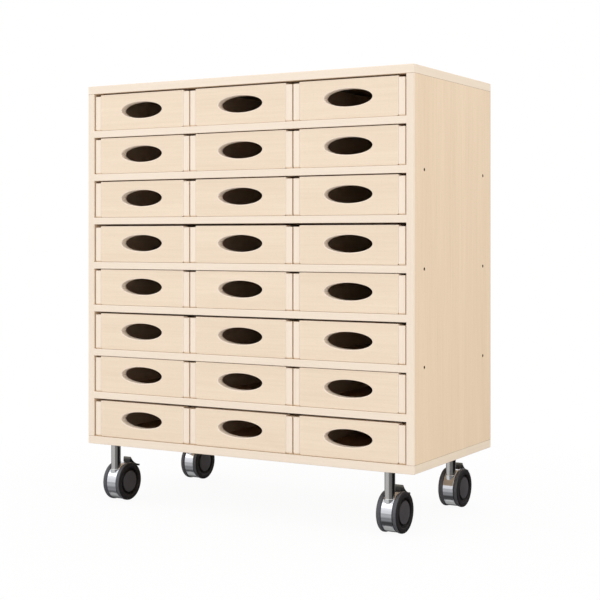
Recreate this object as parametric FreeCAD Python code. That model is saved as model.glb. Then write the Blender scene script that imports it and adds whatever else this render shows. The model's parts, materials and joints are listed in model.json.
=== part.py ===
"""Tray storage unit: a board cabinet on four twin-wheel swivel castors, with finger-hole trays.

Frame: origin on the floor at the middle of the footprint, +Z up, the trays pull out towards -Y,
+X to the right as seen from the front. All sizes are in millimetres.
"""
import FreeCAD, Part
import os

V = FreeCAD.Vector
ALONG_X = V(1, 0, 0)
ALONG_Y = V(0, 1, 0)
ALONG_Z = V(0, 0, 1)

# ---- Trays ---------------------------------------------------------------------------------
columns = 3
tray_width = 267.0              # over both side boards
tray_gap = 3.25                 # air beside each tray
tray_recess = 2.5               # tray sides behind the cabinet's front edges
tray_stop_gap = 0.5             # air between a pushed-in tray and the back panel
tray_front_top = 83.8           # top edge of the tray front above the shelf
tray_side_drop = 3.0            # sides and back are this much lower than the front
tray_side_thickness = 15.0
tray_front_lift = 0.4           # air under the tray front
tray_front_thickness = 19.0
tray_front_proud = 0.5          # face of the front board before the ends of the side boards
tray_back_thickness = 12.0
tray_bottom_thickness = 5.0
tray_bottom_lift = 6.0          # underside of the tray bottom above the shelf
groove_depth = 6.0              # for the tray bottom, in all four boards round it
groove_end_play = 0.5           # the tray bottom is this much short of the groove's floor
groove_play = 0.2               # air above the tray bottom in its groove
tray_edge_radius = 1.0
finger_hole_width = 115.0       # the ellipse's long axis
finger_hole_height = 37.8
finger_hole_centre = 44.4       # above the shelf
finger_hole_radius = 2.0        # rounding of its rim, inside and outside

# Air above the tray fronts, top row first: the shelves are not quite evenly spaced.
row_play = [3.2, 2.0, 2.6, 4.7, 1.4, 4.0, 1.4, 4.6]

# ---- Carcass -------------------------------------------------------------------------------
body_depth = 420.0
cap_thickness = 19.0            # top and bottom panels
side_thickness = 18.0
shelf_thickness = 16.0
back_thickness = 8.0
back_recess = 1.0               # back panel inside the rear edges
rebate_depth = 8.0              # how far the back panel is let into the boards round it
rebate_play = 0.3
corner_radius = 3.0             # upright corners of the carcass
rim_radius = 1.5                # outer edges of the top and bottom panels
seam_radius = 0.6               # edges along the seams between panels and sides
edge_radius = 1.0               # front edges of the shelves and inner edges of the sides

# ---- Fasteners of the carcass --------------------------------------------------------------
screwed_shelves = [2, 4, 6]     # numbered from the top
fixing_inset = 50.0             # shelf fixings from the front and the rear edges
screw_recess_diameter = 6.8
screw_recess_depth = 5.0
screw_head_diameter = 6.4
screw_head_height = 3.2
screw_shank_diameter = 4.5
screw_length = 50.0             # under the head
screw_play = 0.05               # round the shank
drive_diameter = 3.4            # hexagon socket of the screw, over its corners
drive_depth = 2.0
dowel_diameter = 8.0
dowel_play = 0.05               # round the dowel
dowel_end_play = 0.5            # at each end of a dowel in its hole
side_dowel_depth = 11.0         # a shelf dowel in the side panel
shelf_dowel_depth = 25.0        # a shelf dowel in the shelf
cap_dowel_depth = 12.0          # a corner dowel in the top or bottom panel
upright_dowel_depth = 25.0      # a corner dowel in the side panel
cap_dowel_inset = 60.0          # first and last corner dowels from the front and rear edges

# ---- Castors -------------------------------------------------------------------------------
caster_height = 133.5           # floor to the underside of the carcass
stem_side_inset = 66.0          # stem axis from the carcass side
front_stem_inset = 22.0         # stem axis from the front edge
rear_stem_inset = 80.5          # stem axis from the rear edge
trail = 24.0                    # axle behind the stem axis
wheel_diameter = 88.0
wheel_width = 10.8              # each of the two wheels
wheel_side_gap = 0.4            # between a wheel and the hood
tyre_depth = 12.0               # radial thickness of the rubber
tyre_shoulder_radius = 4.0
tyre_seat_play = 0.02
cap_radius = 24.5               # raised middle of the wheel centre
cap_rise = 1.0                  # its crown over its own edge
ring_depth = 3.6                # how far the ring round the cap is dished
ring_edge = 1.2                 # rim between the ring and the rubber
axle_diameter = 8.0
axle_grip = 6.8                 # length of the axle inside each wheel
axle_seat_play = 0.02
running_play = 0.05             # radial, at every turning pin
hood_width = 26.0
hood_diameter = 85.0
hood_wall = 2.5
hood_skin = 3.0                 # thickness of the round band
hood_edge_radius = 1.2
axle_boss_diameter = 16.0
stem_diameter = 22.5
stem_mouth_play = 0.2           # radial, where the stem enters the hood
stem_shoulder_rise = 14.0       # hood's socket face above the axle
collar_rise = 32.0              # top of the hood's collar round the stem above the axle
collar_inset = 0.35             # collar's sides inside the sides of the hood
collar_edge_radius = 0.5
shoulder_play = 0.3             # stem shoulder above the socket face
pintle_diameter = 12.0
pintle_drop = 12.0              # pintle end below the axle
socket_wall = 3.5               # round the stem's mouth
socket_floor = 3.0              # under the pintle hole
stud_diameter = 10.0
stud_engagement = 13.0          # stud inside the bottom panel
stud_play = 0.05
insert_diameter = 15.0
insert_length = 15.0
washer_diameter = 25.0
washer_thickness = 2.0

# ---- Brake pedals --------------------------------------------------------------------------
brake_width = 20.0
brake_lug_width = 12.0
brake_slot_play = 1.5           # each side of the lug in the hood's slot
brake_pin_diameter = 4.0
brake_pin_behind = 22.0         # pin behind the axle
brake_pin_inset = 4.3           # pin inside the hood's outline
brake_boss_radius = 5.0
brake_clearance = 3.0           # pedal's underside over the hood
brake_height = 11.0             # crown of the front tab over the hood
brake_tab_front = 16.5          # front face of the tab behind the axle
brake_tab_length = 4.5
brake_reach = 55.5              # rear tip behind the axle
brake_tip_drop = 10.5           # top of the rear tip below the hood's crown
brake_tip_thickness = 4.0
brake_dish = 5.5                # how far the pedal's top is hollowed between tab and tip
brake_edge_radius = 1.0

# ---- Worked out from the sizes above -------------------------------------------------------
rows = len(row_play)
inner_width = columns * tray_width + (columns + 1) * tray_gap
body_width = inner_width + 2 * side_thickness
body_front = -body_depth / 2
body_rear = body_depth / 2
body_bottom = caster_height
floor_of_rows = body_bottom + cap_thickness
inner_height = rows * tray_front_top + sum(row_play) + (rows - 1) * shelf_thickness
ceiling_of_rows = floor_of_rows + inner_height
body_top = ceiling_of_rows + cap_thickness
rebate_front = body_rear - back_recess - back_thickness
tray_front_y = body_front + tray_recess
tray_length = rebate_front - tray_stop_gap - tray_front_y
tray_side_height = tray_front_top - tray_side_drop
axle_z = wheel_diameter / 2
hood_radius = hood_diameter / 2
brake_pin_above = ((hood_radius - brake_pin_inset) ** 2 - brake_pin_behind ** 2) ** 0.5


def row_floor(row):
    """Height that the trays of a row stand on; rows count from 1 at the top."""
    below = row_play[row:]
    return floor_of_rows + len(below) * (tray_front_top + shelf_thickness) + sum(below)


def shelf_bottom(shelf):
    """Underside of a shelf, which is the ceiling of the row with the next number up from below."""
    return row_floor(shelf) - shelf_thickness


def column_centre(column):
    return (column - (columns + 1) / 2) * (tray_width + tray_gap)


# ---- Helpers -------------------------------------------------------------------------------
def block(x0, x1, y0, y1, z0, z1):
    return Part.makeBox(x1 - x0, y1 - y0, z1 - z0, V(x0, y0, z0))


def rod(radius, start, length, direction):
    return Part.makeCylinder(radius, length, start, direction)


def rounded(shape, radius, wanted):
    """Rounds the edges whose box has a middle that passes the test."""
    edges = [edge for edge in shape.Edges if wanted(edge.BoundBox.Center)]
    return shape.makeFillet(radius, edges)


def near(a, b):
    return abs(a - b) < 0.01


def outline(steps):
    """A closed wire. A step of one point is a straight run to it, one of two is an arc via the first."""
    edges = []
    here = steps[-1][-1]
    for step in steps:
        if len(step) == 1:
            edges.append(Part.LineSegment(here, step[0]).toShape())
        else:
            edges.append(Part.Arc(here, step[0], step[1]).toShape())
        here = step[-1]
    return Part.Wire(edges)


def save(name, *solids):
    shape = solids[0] if len(solids) == 1 else Part.makeCompound(list(solids))
    shape.exportStep(os.path.join("parts", name + ".step"))


# ---- Fixing places -------------------------------------------------------------------------
def fixing_ys():
    return [body_front + fixing_inset, body_rear - fixing_inset]


def cap_dowel_ys():
    first = body_front + cap_dowel_inset
    last = body_rear - cap_dowel_inset
    return [first, (first + last) / 2, last]


def side_screws(side, play=0.0):
    """Screws of one side, or with some play the holes for them; side is -1 or +1."""
    outer = side * body_width / 2
    seat = outer - side * screw_recess_depth
    found = []
    for shelf in screwed_shelves:
        z = shelf_bottom(shelf) + shelf_thickness / 2
        for y in fixing_ys():
            inwards = ALONG_X * -side
            shank = rod(screw_shank_diameter / 2 + play, V(seat, y, z), screw_length + play, inwards)
            if play:
                recess = rod(screw_recess_diameter / 2, V(outer, y, z), screw_recess_depth, inwards)
                found.append(shank.fuse(recess))
            else:
                head = rod(screw_head_diameter / 2, V(seat, y, z), screw_head_height, -inwards)
                mouth = V(seat + side * (screw_head_height - drive_depth), y, z)
                drive = Part.makePolygon(hexagon(mouth, drive_diameter / 2))
                socket = Part.Face(drive).extrude(-inwards * drive_depth)
                found.append(shank.fuse(head).cut(socket))
    return found


def hexagon(centre, radius):
    """Corners of a hexagon in a plane across X, the first one repeated at the end."""
    turn = FreeCAD.Rotation(ALONG_X, 60)
    corner = V(0, 0, radius)
    corners = []
    for _ in range(7):
        corners.append(centre + corner)
        corner = turn.multVec(corner)
    return corners


def shelf_dowels(side, play=0.0):
    """Dowels between one side and the shelves without screws, or the holes for them."""
    inner = side * inner_width / 2
    shortening = 0.0 if play else dowel_end_play
    length = side_dowel_depth + shelf_dowel_depth - 2 * shortening
    start_x = inner + side * (side_dowel_depth - shortening)
    found = []
    for shelf in range(1, rows):
        if shelf in screwed_shelves:
            continue
        z = shelf_bottom(shelf) + shelf_thickness / 2
        for y in fixing_ys():
            found.append(rod(dowel_diameter / 2 + play, V(start_x, y, z), length, ALONG_X * -side))
    return found


def cap_dowels(side, level, play=0.0):
    """Upright dowels between one side and the top (level +1) or bottom (level -1) panel."""
    x = side * (body_width - side_thickness) / 2
    seam = ceiling_of_rows if level > 0 else floor_of_rows
    shortening = 0.0 if play else dowel_end_play
    start = seam + level * (cap_dowel_depth - shortening)
    length = cap_dowel_depth + upright_dowel_depth - 2 * shortening
    down = ALONG_Z * -level
    return [rod(dowel_diameter / 2 + play, V(x, y, start), length, down) for y in cap_dowel_ys()]


# ---- Carcass pieces ------------------------------------------------------------------------
def cap_panel(level):
    """Top (level +1) or bottom (level -1) panel, laid over the ends of the sides."""
    seam = ceiling_of_rows if level > 0 else floor_of_rows
    outer = seam + level * cap_thickness
    low, high = sorted((seam, outer))
    half = body_width / 2
    panel = block(-half, half, body_front, body_rear, low, high)
    panel = rounded(panel, corner_radius, lambda c: near(abs(c.x), half) and near(abs(c.y), body_rear))
    panel = rounded(panel, rim_radius, lambda c: near(c.z, outer))
    panel = rounded(panel, seam_radius, lambda c: near(c.z, seam))
    reach = inner_width / 2 + rebate_depth
    low, high = sorted((seam, seam + level * rebate_depth))
    panel = panel.cut(block(-reach, reach, rebate_front, body_rear, low, high))
    for side in (-1, 1):
        panel = panel.cut(cap_dowels(side, level, dowel_play))
    return panel


def bottom_panel():
    panel = cap_panel(-1)
    for x, y in stem_places().values():
        panel = panel.cut(rod(insert_diameter / 2, V(x, y, body_bottom), insert_length, ALONG_Z))
    return panel


def side_panel(side):
    inner = side * inner_width / 2
    outer = side * body_width / 2
    low_x, high_x = sorted((inner, outer))
    panel = block(low_x, high_x, body_front, body_rear, floor_of_rows, ceiling_of_rows)
    panel = rounded(panel, corner_radius, lambda c: near(c.x, outer) and near(abs(c.y), body_rear))
    panel = rounded(panel, edge_radius, lambda c: near(c.x, inner) and near(c.y, body_front))
    low_x, high_x = sorted((inner, inner + side * rebate_depth))
    panel = panel.cut(block(low_x, high_x, rebate_front, body_rear, floor_of_rows, ceiling_of_rows))
    panel = panel.cut(side_screws(side, screw_play))
    panel = panel.cut(shelf_dowels(side, dowel_play))
    for level in (-1, 1):
        panel = panel.cut(cap_dowels(side, level, dowel_play))
    return panel


def shelf_board(shelf):
    half = inner_width / 2
    low = shelf_bottom(shelf)
    board = block(-half, half, body_front, rebate_front, low, low + shelf_thickness)
    board = rounded(board, edge_radius, lambda c: near(c.y, body_front) and near(c.x, 0))
    for side in (-1, 1):
        holes = side_screws(side, screw_play) + shelf_dowels(side, dowel_play)
        board = board.cut([hole for hole in holes if hole.BoundBox.intersect(board.BoundBox)])
    return board


def back_panel():
    half = inner_width / 2 + rebate_depth - rebate_play
    low = floor_of_rows - rebate_depth + rebate_play
    high = ceiling_of_rows + rebate_depth - rebate_play
    return block(-half, half, rebate_front, rebate_front + back_thickness, low, high)


# ---- Trays ---------------------------------------------------------------------------------
def ellipse_prism(y0, y1):
    centre = V(0, y0, finger_hole_centre)
    long_end = centre + ALONG_X * (finger_hole_width / 2)
    short_end = centre + ALONG_Z * (finger_hole_height / 2)
    rim = Part.Ellipse(long_end, short_end, centre).toShape()
    return Part.Face(Part.Wire([rim])).extrude(ALONG_Y * (y1 - y0))


def tray_front():
    half = tray_width / 2 - tray_side_thickness
    face = -tray_front_proud
    rear = face + tray_front_thickness
    board = block(-half, half, face, rear, tray_front_lift, tray_front_top)
    board = rounded(board, tray_edge_radius, lambda c: near(c.y, face))
    board = board.cut(ellipse_prism(face, rear))
    board = rounded(board, finger_hole_radius, lambda c: near(c.x, 0) and near(c.z, finger_hole_centre))
    return board.cut(tray_groove())


def tray_side(side):
    outer = side * tray_width / 2
    inner = outer - side * tray_side_thickness
    low_x, high_x = sorted((inner, outer))
    board = block(low_x, high_x, 0, tray_length, 0, tray_side_height)
    in_joint = V(inner, 0, tray_side_height / 2)
    board = rounded(board, tray_edge_radius,
                    lambda c: not near(c.y, tray_length) and not near(c.distanceToPoint(in_joint), 0))
    return board.cut(tray_groove())


def tray_back():
    half = tray_width / 2 - tray_side_thickness
    board = block(-half, half, tray_length - tray_back_thickness, tray_length, 0, tray_side_height)
    board = rounded(board, tray_edge_radius, lambda c: near(c.x, 0) and near(c.z, tray_side_height))
    return board.cut(tray_groove())


def tray_floor_space(end_play, top_play):
    """The tray bottom, as far as the floors of its grooves less some play at its ends."""
    half = tray_width / 2 - tray_side_thickness + groove_depth - end_play
    y0 = tray_front_thickness - tray_front_proud - groove_depth + end_play
    y1 = tray_length - tray_back_thickness + groove_depth - end_play
    top = tray_bottom_lift + tray_bottom_thickness + top_play
    return block(-half, half, y0, y1, tray_bottom_lift, top)


def tray_groove():
    return tray_floor_space(0.0, groove_play)


def tray_boards():
    """The five boards of a tray that stands on Z 0, with the front ends of its sides at Y 0."""
    bottom = tray_floor_space(groove_end_play, 0.0)
    return [tray_front(), tray_side(-1), tray_side(1), tray_back(), bottom]


# ---- Castors -------------------------------------------------------------------------------
def stem_places():
    x = body_width / 2 - stem_side_inset
    front = body_front + front_stem_inset
    rear = body_rear - rear_stem_inset
    return {"fl": (-x, front), "fr": (x, front), "bl": (-x, rear), "br": (x, rear)}


def caster_insert(x, y):
    """Threaded sleeve let into the bottom panel, threads left plain."""
    sleeve = rod(insert_diameter / 2, V(x, y, body_bottom), insert_length, ALONG_Z)
    bore = rod(stud_diameter / 2 + stud_play, V(x, y, body_bottom), insert_length, ALONG_Z)
    return sleeve.cut(bore)


def caster_washer(x, y):
    low = V(x, y, body_bottom - washer_thickness)
    disc = rod(washer_diameter / 2, low, washer_thickness, ALONG_Z)
    return disc.cut(rod(stud_diameter / 2 + stud_play, low, washer_thickness, ALONG_Z))


def caster_stem(x, y):
    """Stud, stem and pintle in one turned piece."""
    shoulder = axle_z + stem_shoulder_rise + shoulder_play
    top = body_bottom - washer_thickness
    stem = rod(stem_diameter / 2, V(x, y, shoulder), top - shoulder, ALONG_Z)
    stud = rod(stud_diameter / 2, V(x, y, top), washer_thickness + stud_engagement, ALONG_Z)
    foot = axle_z - pintle_drop
    pintle = rod(pintle_diameter / 2, V(x, y, foot), shoulder - foot, ALONG_Z)
    return stem.fuse([stud, pintle]).removeSplitter()


def across(radius, half_width, u=0.0, w=0.0):
    """A cylinder along X through a point u behind and w above the axle's middle."""
    return rod(radius, V(-half_width, u, w), 2 * half_width, ALONG_X)


def caster_hood():
    """Hood, axle and brake pin about the axle's middle; the stem axis is at Y -trail."""
    half = hood_width / 2
    room = half - hood_wall
    drum = across(hood_radius, half)
    drum = drum.makeFillet(hood_edge_radius, [edge for edge in drum.Edges if edge.isClosed()])
    mouth_radius = stem_diameter / 2 + stem_mouth_play
    socket_foot = -pintle_drop - socket_floor
    socket = rod(mouth_radius + socket_wall, V(0, -trail, socket_foot), hood_diameter, ALONG_Z)
    socket = socket.common(across(hood_radius, room))
    collar = rod(half - collar_inset, V(0, -trail, 0), collar_rise, ALONG_Z)
    rims = [edge for edge in collar.Edges if edge.isClosed() and edge.BoundBox.ZMin > collar_rise / 2]
    drum = drum.fuse(collar.makeFillet(collar_edge_radius, rims))
    hood = drum.cut(across(hood_radius - hood_skin, room))
    hood = hood.fuse([socket, across(axle_boss_diameter / 2, room)])
    pintle_hole = rod(pintle_diameter / 2 + running_play, V(0, -trail, -pintle_drop - shoulder_play),
                      hood_diameter, ALONG_Z)
    mouth = rod(mouth_radius, V(0, -trail, stem_shoulder_rise), hood_diameter, ALONG_Z)
    slot_half = brake_lug_width / 2 + brake_slot_play
    slot_reach = brake_boss_radius + hood_skin + brake_clearance
    slot = block(-slot_half, slot_half, brake_pin_behind - slot_reach, brake_pin_behind + slot_reach,
                 brake_pin_above - slot_reach, hood_diameter)
    pin_hole = across(brake_pin_diameter / 2 + axle_seat_play, half, brake_pin_behind, brake_pin_above)
    axle_hole = across(axle_diameter / 2 + axle_seat_play, half)
    hood = hood.cut([pintle_hole, mouth, slot, pin_hole, axle_hole])
    axle = across(axle_diameter / 2, half + wheel_side_gap + axle_grip)
    pin = across(brake_pin_diameter / 2, half, brake_pin_behind, brake_pin_above)
    return [hood, axle, pin]


def turned(steps):
    """Solid of revolution about X. Each point is V(x, radius, 0)."""
    return Part.Face(outline(steps)).revolve(V(0, 0, 0), ALONG_X, 360)


def wheel(side):
    """Tyre and wheel centre about the axle's middle, on one side of the hood."""
    inner = hood_width / 2 + wheel_side_gap
    outer = inner + wheel_width
    radius = wheel_diameter / 2
    seat = radius - tyre_depth
    bend = tyre_shoulder_radius
    cut_in = bend * (1 - 0.5 ** 0.5)
    seat_radius = seat + tyre_seat_play
    tyre = turned([
        [V(inner, seat_radius, 0)],
        [V(inner, radius - bend, 0)],
        [V(inner + cut_in, radius - cut_in, 0), V(inner + bend, radius, 0)],
        [V(outer - bend, radius, 0)],
        [V(outer - cut_in, radius - cut_in, 0), V(outer, radius - bend, 0)],
        [V(outer, seat_radius, 0)],
    ])
    bore = axle_diameter / 2 + running_play
    bore_end = inner + axle_grip + running_play
    cap_edge = outer - cap_rise
    crown = Part.Arc(V(cap_edge, cap_radius, 0), V(outer, 0, 0), V(cap_edge, -cap_radius, 0))
    crown_middle = crown.value((crown.FirstParameter * 3 + crown.LastParameter) / 4)
    ring_outer = seat - ring_edge
    centre = turned([
        [V(bore_end, 0, 0)],
        [V(bore_end, bore, 0)],
        [V(inner, bore, 0)],
        [V(inner, seat, 0)],
        [V(cap_edge, seat, 0)],
        [V(cap_edge, ring_outer, 0)],
        [V(cap_edge - ring_depth, ring_outer - ring_edge, 0)],
        [V(cap_edge - ring_depth, cap_radius + ring_edge, 0)],
        [V(cap_edge, cap_radius, 0)],
        [crown_middle, V(outer, 0, 0)],
    ])
    pair = [tyre, centre]
    if side < 0:
        pair = [piece.mirror(V(0, 0, 0), ALONG_X) for piece in pair]
    return pair


def upright_point(u, w):
    return V(0, u, w)


def on_circle(radius, u):
    """Point of a circle about the axle at a distance u behind it, above the axle."""
    return upright_point(u, (radius ** 2 - u ** 2) ** 0.5)


def caster_brake():
    """Pedal that rocks on its pin: an upright tab in front, a tongue behind and a lug into the hood."""
    under = hood_radius + brake_clearance
    crown = hood_radius + brake_height
    tip_top = hood_radius - brake_tip_drop
    tip_low = tip_top - brake_tip_thickness
    tab_end = brake_tab_front + brake_tab_length
    bend = (tab_end + brake_reach) / 2
    hollow = (crown + tip_top) / 2 - brake_dish
    side_view = outline([
        [upright_point(brake_tab_front + brake_edge_radius, crown)],
        [upright_point(tab_end, crown)],
        [upright_point(bend, hollow), upright_point(brake_reach, tip_top)],
        [upright_point(brake_reach - brake_edge_radius, tip_low)],
        [on_circle(under, (tab_end + bend) / 2), on_circle(under, brake_tab_front)],
    ])
    half = brake_width / 2
    plate = Part.Face(side_view).extrude(ALONG_X * brake_width)
    plate.translate(V(-half, 0, 0))
    plate = rounded(plate, brake_edge_radius, lambda c: near(abs(c.x), half) and c.z > hollow)
    lug_half = brake_lug_width / 2
    lug_front = brake_pin_behind - brake_boss_radius
    lug_rear = brake_pin_behind + brake_boss_radius
    boss_foot = upright_point(brake_pin_behind, brake_pin_above - brake_boss_radius)
    lug_radius = under + brake_tip_thickness / 2
    lug_view = outline([
        [boss_foot, upright_point(lug_rear, brake_pin_above)],
        [on_circle(lug_radius, lug_rear)],
        [on_circle(lug_radius, lug_front)],
        [upright_point(lug_front, brake_pin_above)],
    ])
    lug = Part.Face(lug_view).extrude(ALONG_X * brake_lug_width)
    lug.translate(V(-lug_half, 0, 0))
    hole = across(brake_pin_diameter / 2 + running_play, lug_half, brake_pin_behind, brake_pin_above)
    return plate.fuse(lug).cut(hole)


# ---- Export --------------------------------------------------------------------------------
def moved(shapes, offset):
    found = []
    for shape in shapes:
        copy = shape.copy()
        copy.translate(offset)
        found.append(copy)
    return found


def export_carcass():
    save("top_panel", cap_panel(1))
    save("bottom_panel", bottom_panel())
    save("side_panel_left", side_panel(-1))
    save("side_panel_right", side_panel(1))
    save("back_panel", back_panel())
    for shelf in range(1, rows):
        save(f"shelf_{shelf}", shelf_board(shelf))
    screws = []
    dowels = []
    for side in (-1, 1):
        screws += side_screws(side)
        dowels += shelf_dowels(side) + cap_dowels(side, -1) + cap_dowels(side, 1)
    save("shelf_screws", *screws)
    save("carcass_dowels", *dowels)


def export_trays():
    boards = tray_boards()
    for row in range(1, rows + 1):
        for column in range(1, columns + 1):
            place = V(column_centre(column), tray_front_y, row_floor(row))
            save(f"tray_r{row}_c{column}", *moved(boards, place))


def export_casters():
    places = stem_places()
    save("caster_inserts", *[caster_insert(x, y) for x, y in places.values()])
    save("caster_washers", *[caster_washer(x, y) for x, y in places.values()])
    hood = caster_hood()
    wheels = {"left": wheel(-1), "right": wheel(1)}
    brake = caster_brake()
    for corner, (x, y) in places.items():
        axle_middle = V(x, y + trail, axle_z)
        save(f"caster_stem_{corner}", caster_stem(x, y))
        save(f"caster_hood_{corner}", *moved(hood, axle_middle))
        for hand, pair in wheels.items():
            save(f"wheel_{hand}_{corner}", *moved(pair, axle_middle))
        save(f"caster_brake_{corner}", *moved([brake], axle_middle))


os.makedirs("parts", exist_ok=True)
export_carcass()
export_trays()
export_casters()
print("body", body_width, body_depth, body_top - body_bottom, "overall height", body_top)
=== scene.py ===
import json
import math
import bpy
import numpy as np
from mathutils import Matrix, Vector

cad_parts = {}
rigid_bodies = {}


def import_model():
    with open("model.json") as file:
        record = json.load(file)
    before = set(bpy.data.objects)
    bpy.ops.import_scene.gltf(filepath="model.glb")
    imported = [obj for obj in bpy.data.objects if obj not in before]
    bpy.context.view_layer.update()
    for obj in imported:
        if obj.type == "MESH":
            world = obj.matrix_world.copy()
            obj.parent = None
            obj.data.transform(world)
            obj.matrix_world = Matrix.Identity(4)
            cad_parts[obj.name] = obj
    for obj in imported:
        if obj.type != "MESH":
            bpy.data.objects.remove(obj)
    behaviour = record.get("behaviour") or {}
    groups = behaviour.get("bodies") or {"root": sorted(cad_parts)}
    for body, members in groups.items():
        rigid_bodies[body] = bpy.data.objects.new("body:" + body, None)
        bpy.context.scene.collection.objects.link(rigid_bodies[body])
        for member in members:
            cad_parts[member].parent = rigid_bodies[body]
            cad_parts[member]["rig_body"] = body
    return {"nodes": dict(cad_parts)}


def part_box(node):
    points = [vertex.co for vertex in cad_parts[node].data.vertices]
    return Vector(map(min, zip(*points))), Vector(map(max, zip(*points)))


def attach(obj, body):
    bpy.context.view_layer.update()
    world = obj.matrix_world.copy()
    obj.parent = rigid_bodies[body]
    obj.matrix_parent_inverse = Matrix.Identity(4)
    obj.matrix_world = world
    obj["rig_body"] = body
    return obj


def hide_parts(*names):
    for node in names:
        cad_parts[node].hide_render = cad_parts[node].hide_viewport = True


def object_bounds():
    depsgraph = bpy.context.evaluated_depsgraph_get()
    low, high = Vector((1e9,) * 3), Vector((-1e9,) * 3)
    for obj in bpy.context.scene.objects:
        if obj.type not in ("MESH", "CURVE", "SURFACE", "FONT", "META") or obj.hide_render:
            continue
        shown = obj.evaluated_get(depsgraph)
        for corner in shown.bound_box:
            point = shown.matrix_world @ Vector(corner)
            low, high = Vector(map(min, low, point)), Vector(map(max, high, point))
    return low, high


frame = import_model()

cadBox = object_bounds()
nodes = frame["nodes"]
print("frame loaded:", len(nodes), "nodes")


# shader sums and nodes
class Value:
    # an output socket that takes part in sums: every operator adds a Math node
    def __init__(self, shader, socket):
        self.shader = shader
        self.socket = socket

    def maths(self, operation, first, second):
        return self.shader.node("ShaderNodeMath", {"operation": operation}, {0: first, 1: second})

    def __add__(self, other):
        return self.maths("ADD", self, other)

    def __sub__(self, other):
        return self.maths("SUBTRACT", self, other)

    def __rsub__(self, other):
        return self.maths("SUBTRACT", other, self)

    def __mul__(self, other):
        return self.maths("MULTIPLY", self, other)

    def __gt__(self, other):
        return self.maths("GREATER_THAN", self, other)

    def __lt__(self, other):
        return self.maths("LESS_THAN", self, other)

    def highest(self, other):
        return self.maths("MAXIMUM", self, other)


class Shader:
    # a node tree that is filled one node at a time
    def __init__(self, tree):
        self.tree = tree
        tree.nodes.clear()

    def node(self, kind, settings=None, inputs=None, output=0):
        made = self.tree.nodes.new(kind)
        for key, value in (settings or {}).items():
            setattr(made, key, value)
        for key, value in (inputs or {}).items():
            if isinstance(value, Value):
                self.tree.links.new(value.socket, made.inputs[key])
            else:
                made.inputs[key].default_value = value
        return Value(self, made.outputs[output])

    def scaled(self, vector, sizes):
        factors = [1 / size for size in sizes]
        return self.node("ShaderNodeVectorMath", {"operation": "MULTIPLY"}, {0: vector, 1: factors})

    def noise(self, vector, sizes, detail=2.0, distortion=0.0):
        # noise centred on 0 whose lumps are as long, wide and deep as sizes says, in metres
        found = self.node("ShaderNodeTexNoise", {}, {"Vector": self.scaled(vector, sizes), "Scale": 1.0,
                                                     "Detail": detail, "Distortion": distortion})
        return found - 0.5

    def range(self, value, low, high, toLow=0.0, toHigh=1.0):
        return self.node("ShaderNodeMapRange", {}, {"Value": value, "From Min": low, "From Max": high,
                                                    "To Min": toLow, "To Max": toHigh})

    def mix(self, factor, first, second, blend="MIX"):
        return self.node("ShaderNodeMix", {"data_type": "RGBA", "blend_type": blend},
                         {0: factor, 6: first, 7: second}, output=2)

    def ramp(self, value, stops):
        # straight lines through the stops (value, tone)
        low, high = stops[0][0], stops[-1][0]
        made = self.tree.nodes.new("ShaderNodeValToRGB")
        self.tree.links.new(self.range(value, low, high).socket, made.inputs[0])
        elements = made.color_ramp.elements
        for element, (_, tone) in zip(elements, (stops[0], stops[-1])):
            element.color = colour(tone, tone, tone)
        for place, tone in stops[1:-1]:
            elements.new((place - low) / (high - low)).color = colour(tone, tone, tone)
        return Value(self, made.outputs[0])

    def bump(self, height, strength, distance):
        return self.node("ShaderNodeBump", {}, {"Height": height, "Strength": strength, "Distance": distance})

    def finish(self, surface):
        output = self.tree.nodes.new("ShaderNodeOutputMaterial")
        self.tree.links.new(surface.socket, output.inputs["Surface"])

    def principled(self, inputs):
        self.finish(self.node("ShaderNodeBsdfPrincipled", {}, inputs))


def newMaterial(name):
    material = bpy.data.materials.new(name)
    material.use_nodes = True
    return material, Shader(material.node_tree)


def colour(red, green, blue):
    return (red, green, blue, 1.0)


def shaded(base, factor):
    return colour(*[channel * factor for channel in base[:3]])


# wood: colours of the boards and bands, and the sizes of the grain in metres
woods = {
    "trayFace": {"base": colour(0.862, 0.706, 0.543), "contrast": 0.075},
    "caseFace": {"base": colour(0.838, 0.654, 0.462), "contrast": 0.085},
    "shelfFace": {"base": colour(0.835, 0.655, 0.475), "contrast": 0.080},
    "trayFloor": {"base": colour(0.520, 0.310, 0.170), "contrast": 0.120},
    "backFace": {"base": colour(0.740, 0.570, 0.410), "contrast": 0.090},
    "trayBand": {"base": colour(0.915, 0.782, 0.645), "contrast": 0.050},
    "caseBand": {"base": colour(0.888, 0.760, 0.626), "contrast": 0.050},
    "capBand": {"base": colour(0.858, 0.722, 0.562), "contrast": 0.050},
    # the dark brown on the seam rounding between the panels is a painted shade of the groove
    "seamPaintedShade": {"base": colour(0.400, 0.270, 0.160), "contrast": 0.100},
}
grain = {
    "fibre": (0.030, 0.0007), "fibreShare": 0.45,     # length and width of the fine fibres
    "streak": (0.220, 0.0060), "streakShare": 0.75,   # soft bands along the grain
    "tone": (0.900, 0.0600), "toneShare": 0.70,       # slow change over a whole board
    "fleck": (0.0050, 0.0005), "fleckShare": 0.55,    # short dark ray flecks
    "fleckLevels": (0.17, 0.27),
    "warmth": (1.25, 1.6),     # contrast in green and in blue, as shares of that in red
    "roughness": 0.46, "roughnessSpread": 0.14, "bumpStrength": 0.10, "bumpDepth": 0.00008,
    "specular": 0.35, "panelSpecular": 0.15,
}
banding = {
    "line": (0.35, 0.0022), "lineShare": 1.0,
    "fibre": (0.06, 0.0005), "fibreShare": 0.4,
    "tone": (0.25, 0.05), "toneShare": 0.5,
    "warmth": (1.3, 1.7),
}


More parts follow.
